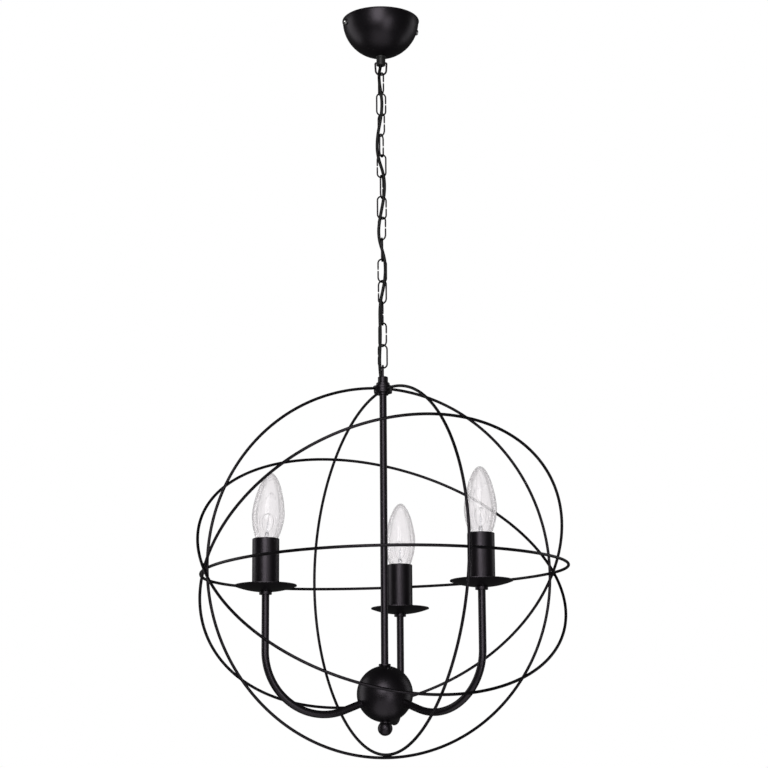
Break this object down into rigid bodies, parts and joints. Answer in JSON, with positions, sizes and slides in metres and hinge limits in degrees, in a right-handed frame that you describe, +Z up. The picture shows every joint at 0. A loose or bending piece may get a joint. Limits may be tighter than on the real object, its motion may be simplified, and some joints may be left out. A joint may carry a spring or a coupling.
{
  "type": "orb chandelier",
  "caption": "Wire globe chandelier on a chain from a half-round ceiling cup: open hoops round a centre tube, bent arms with drip pans, cups and clear candle bulbs.",
  "frame": {"origin": "centre of the canopy's mounting plane on the ceiling, between the bracket's two screw holes", "axes": "+Z up along the hang axis, +X towards the screw hole, and towards one node where the leaning hoops cross"},
  "size_m": [0.4134, 0.4037, 0.8319],
  "materials": {
    "black_metal": "satin black paint",
    "bright_steel": "zinc plated",
    "bare_steel": "turned",
    "brass": "plain",
    "cap_metal": "rolled thread",
    "white_plastic": "moulded",
    "black_plastic": "moulded",
    "cable_sheath": "smooth sheath",
    "lead_sheath": "smooth sheath",
    "clear_glass": "clear",
    "stem_glass": "clear, with tungsten filament"
  },
  "bodies": {
    "ceiling_cup": {"ceiling_bracket": "bright_steel", "canopy": "black_metal", "canopy_screws": "bright_steel", "terminal_block": "white_plastic", "terminal_screws": "brass", "cord_grip": "black_plastic", "grip_lock_nut": "bright_steel", "supply_cable": "cable_sheath"},
    "bail": {"canopy_bail": "black_metal"},
    "link_01": {"chain_link_01": "black_metal"},
    "link_02": {"chain_link_02": "black_metal"},
    "link_03": {"chain_link_03": "black_metal"},
    "link_04": {"chain_link_04": "black_metal"},
    "link_05": {"chain_link_05": "black_metal"},
    "link_06": {"chain_link_06": "black_metal"},
    "link_07": {"chain_link_07": "black_metal"},
    "link_08": {"chain_link_08": "black_metal"},
    "link_09": {"chain_link_09": "black_metal"},
    "link_10": {"chain_link_10": "black_metal"},
    "link_11": {"chain_link_11": "black_metal"},
    "link_12": {"chain_link_12": "black_metal"},
    "link_13": {"chain_link_13": "black_metal"},
    "link_14": {"chain_link_14": "black_metal"},
    "bulb_left": {"bulb_glass_left": "clear_glass", "bulb_cap_left": "cap_metal", "bulb_stem_left": "stem_glass"},
    "bulb_rear": {"bulb_glass_rear": "clear_glass", "bulb_cap_rear": "cap_metal", "bulb_stem_rear": "stem_glass"},
    "bulb_right": {"bulb_glass_right": "clear_glass", "bulb_cap_right": "cap_metal", "bulb_stem_right": "stem_glass"},
    "fixture": {"arm_left": "black_metal", "arm_rear": "black_metal", "arm_right": "black_metal", "centre_tube": "black_metal", "drip_pan_left": "black_metal", "drip_pan_rear": "black_metal", "drip_pan_right": "black_metal", "finial": "black_metal", "hub_core": "bare_steel", "hub_lower_shell": "black_metal", "hub_ring": "black_metal", "hub_upper_shell": "black_metal", "lamp_cup_left": "black_metal", "lamp_cup_rear": "black_metal", "lamp_cup_right": "black_metal", "lamp_leads": "lead_sheath", "lampholder_left": "black_plastic", "lampholder_rear": "black_plastic", "lampholder_right": "black_plastic", "leaning_hoop_inner": "black_metal", "leaning_hoop_outer": "black_metal", "level_hoop": "black_metal", "pan_nuts": "black_metal", "stack_washer_and_nut": "black_metal", "top_collar": "black_metal", "top_loop": "black_metal", "upright_hoop_cross": "black_metal", "upright_hoop_long": "black_metal"}
  },
  "joints": [
    {"name": "bail_swing", "type": "hinge", "parent": "ceiling_cup", "child": "bail", "pos_m": [0, 0, -0.051], "axis": [0.9289, -0.3702, 0], "range_deg": [-8, 8], "deforming": ["supply_cable"]},
    {"name": "link_01_rock", "type": "hinge", "parent": "bail", "child": "link_01", "pos_m": [0, 0, -0.06525], "axis": [-0.9289, 0.3702, 0], "range_deg": [-6, 6], "deforming": ["supply_cable"]},
    {"name": "link_02_rock", "type": "hinge", "parent": "link_01", "child": "link_02", "pos_m": [0, 0, -0.0895], "axis": [-0.1783, 0.984, 0], "range_deg": [-6, 6], "deforming": ["supply_cable"]},
    {"name": "link_03_rock", "type": "hinge", "parent": "link_02", "child": "link_03", "pos_m": [0, 0, -0.11395], "axis": [0.9791, -0.2033, 0], "range_deg": [-6, 6], "deforming": ["supply_cable"]},
    {"name": "link_04_rock", "type": "hinge", "parent": "link_03", "child": "link_04", "pos_m": [0, 0, -0.1384], "axis": [0.3464, -0.9381, 0], "range_deg": [-6, 6], "deforming": ["supply_cable"]},
    {"name": "link_05_rock", "type": "hinge", "parent": "link_04", "child": "link_05", "pos_m": [0, 0, -0.16285], "axis": [-0.7038, -0.7104, 0], "range_deg": [-6, 6], "deforming": ["supply_cable"]},
    {"name": "link_06_rock", "type": "hinge", "parent": "link_05", "child": "link_06", "pos_m": [0, 0, -0.1873], "axis": [-0.7463, 0.6656, 0], "range_deg": [-6, 6], "deforming": ["supply_cable"]},
    {"name": "link_07_rock", "type": "hinge", "parent": "link_06", "child": "link_07", "pos_m": [0, 0, -0.21175], "axis": [0.598, 0.8015, 0], "range_deg": [-6, 6], "deforming": ["supply_cable"]},
    {"name": "link_08_rock", "type": "hinge", "parent": "link_07", "child": "link_08", "pos_m": [0, 0, -0.2362], "axis": [-0.9979, 0.0651, 0], "range_deg": [-6, 6], "deforming": ["supply_cable"]},
    {"name": "link_09_rock", "type": "hinge", "parent": "link_08", "child": "link_09", "pos_m": [0, 0, -0.26065], "axis": [0.4889, -0.8723, 0], "range_deg": [-6, 6], "deforming": ["supply_cable"]},
    {"name": "link_10_rock", "type": "hinge", "parent": "link_09", "child": "link_10", "pos_m": [0, 0, -0.2851], "axis": [0.4653, 0.8851, 0], "range_deg": [-6, 6], "deforming": ["supply_cable"]},
    {"name": "link_11_rock", "type": "hinge", "parent": "link_10", "child": "link_11", "pos_m": [0, 0, -0.30955], "axis": [-0.9972, -0.0745, 0], "range_deg": [-6, 6], "deforming": ["supply_cable"]},
    {"name": "link_12_rock", "type": "hinge", "parent": "link_11", "child": "link_12", "pos_m": [0, 0, -0.334], "axis": [0.5774, -0.8164, 0], "range_deg": [-6, 6], "deforming": ["supply_cable"]},
    {"name": "link_13_rock", "type": "hinge", "parent": "link_12", "child": "link_13", "pos_m": [0, 0, -0.35845], "axis": [0.4498, 0.8931, 0], "range_deg": [-6, 6], "deforming": ["supply_cable"]},
    {"name": "link_14_rock", "type": "hinge", "parent": "link_13", "child": "link_14", "pos_m": [0, 0, -0.3829], "axis": [0.5191, -0.8547, 0], "range_deg": [-6, 6], "deforming": ["supply_cable"]},
    {"name": "fixture_swing", "type": "hinge", "parent": "link_14", "child": "fixture", "pos_m": [0, 0, -0.40735], "axis": [-0.9999, 0.0127, 0], "range_deg": [-6, 6], "deforming": ["supply_cable"]},
    {"name": "bulb_left_out", "type": "slide", "parent": "fixture", "child": "bulb_left", "axis": [0, 0, 1], "range_m": [0, 0.03]},
    {"name": "bulb_rear_out", "type": "slide", "parent": "fixture", "child": "bulb_rear", "axis": [0, 0, 1], "range_m": [0, 0.03]},
    {"name": "bulb_right_out", "type": "slide", "parent": "fixture", "child": "bulb_right", "axis": [0, 0, 1], "range_m": [0, 0.03]}
  ]
}
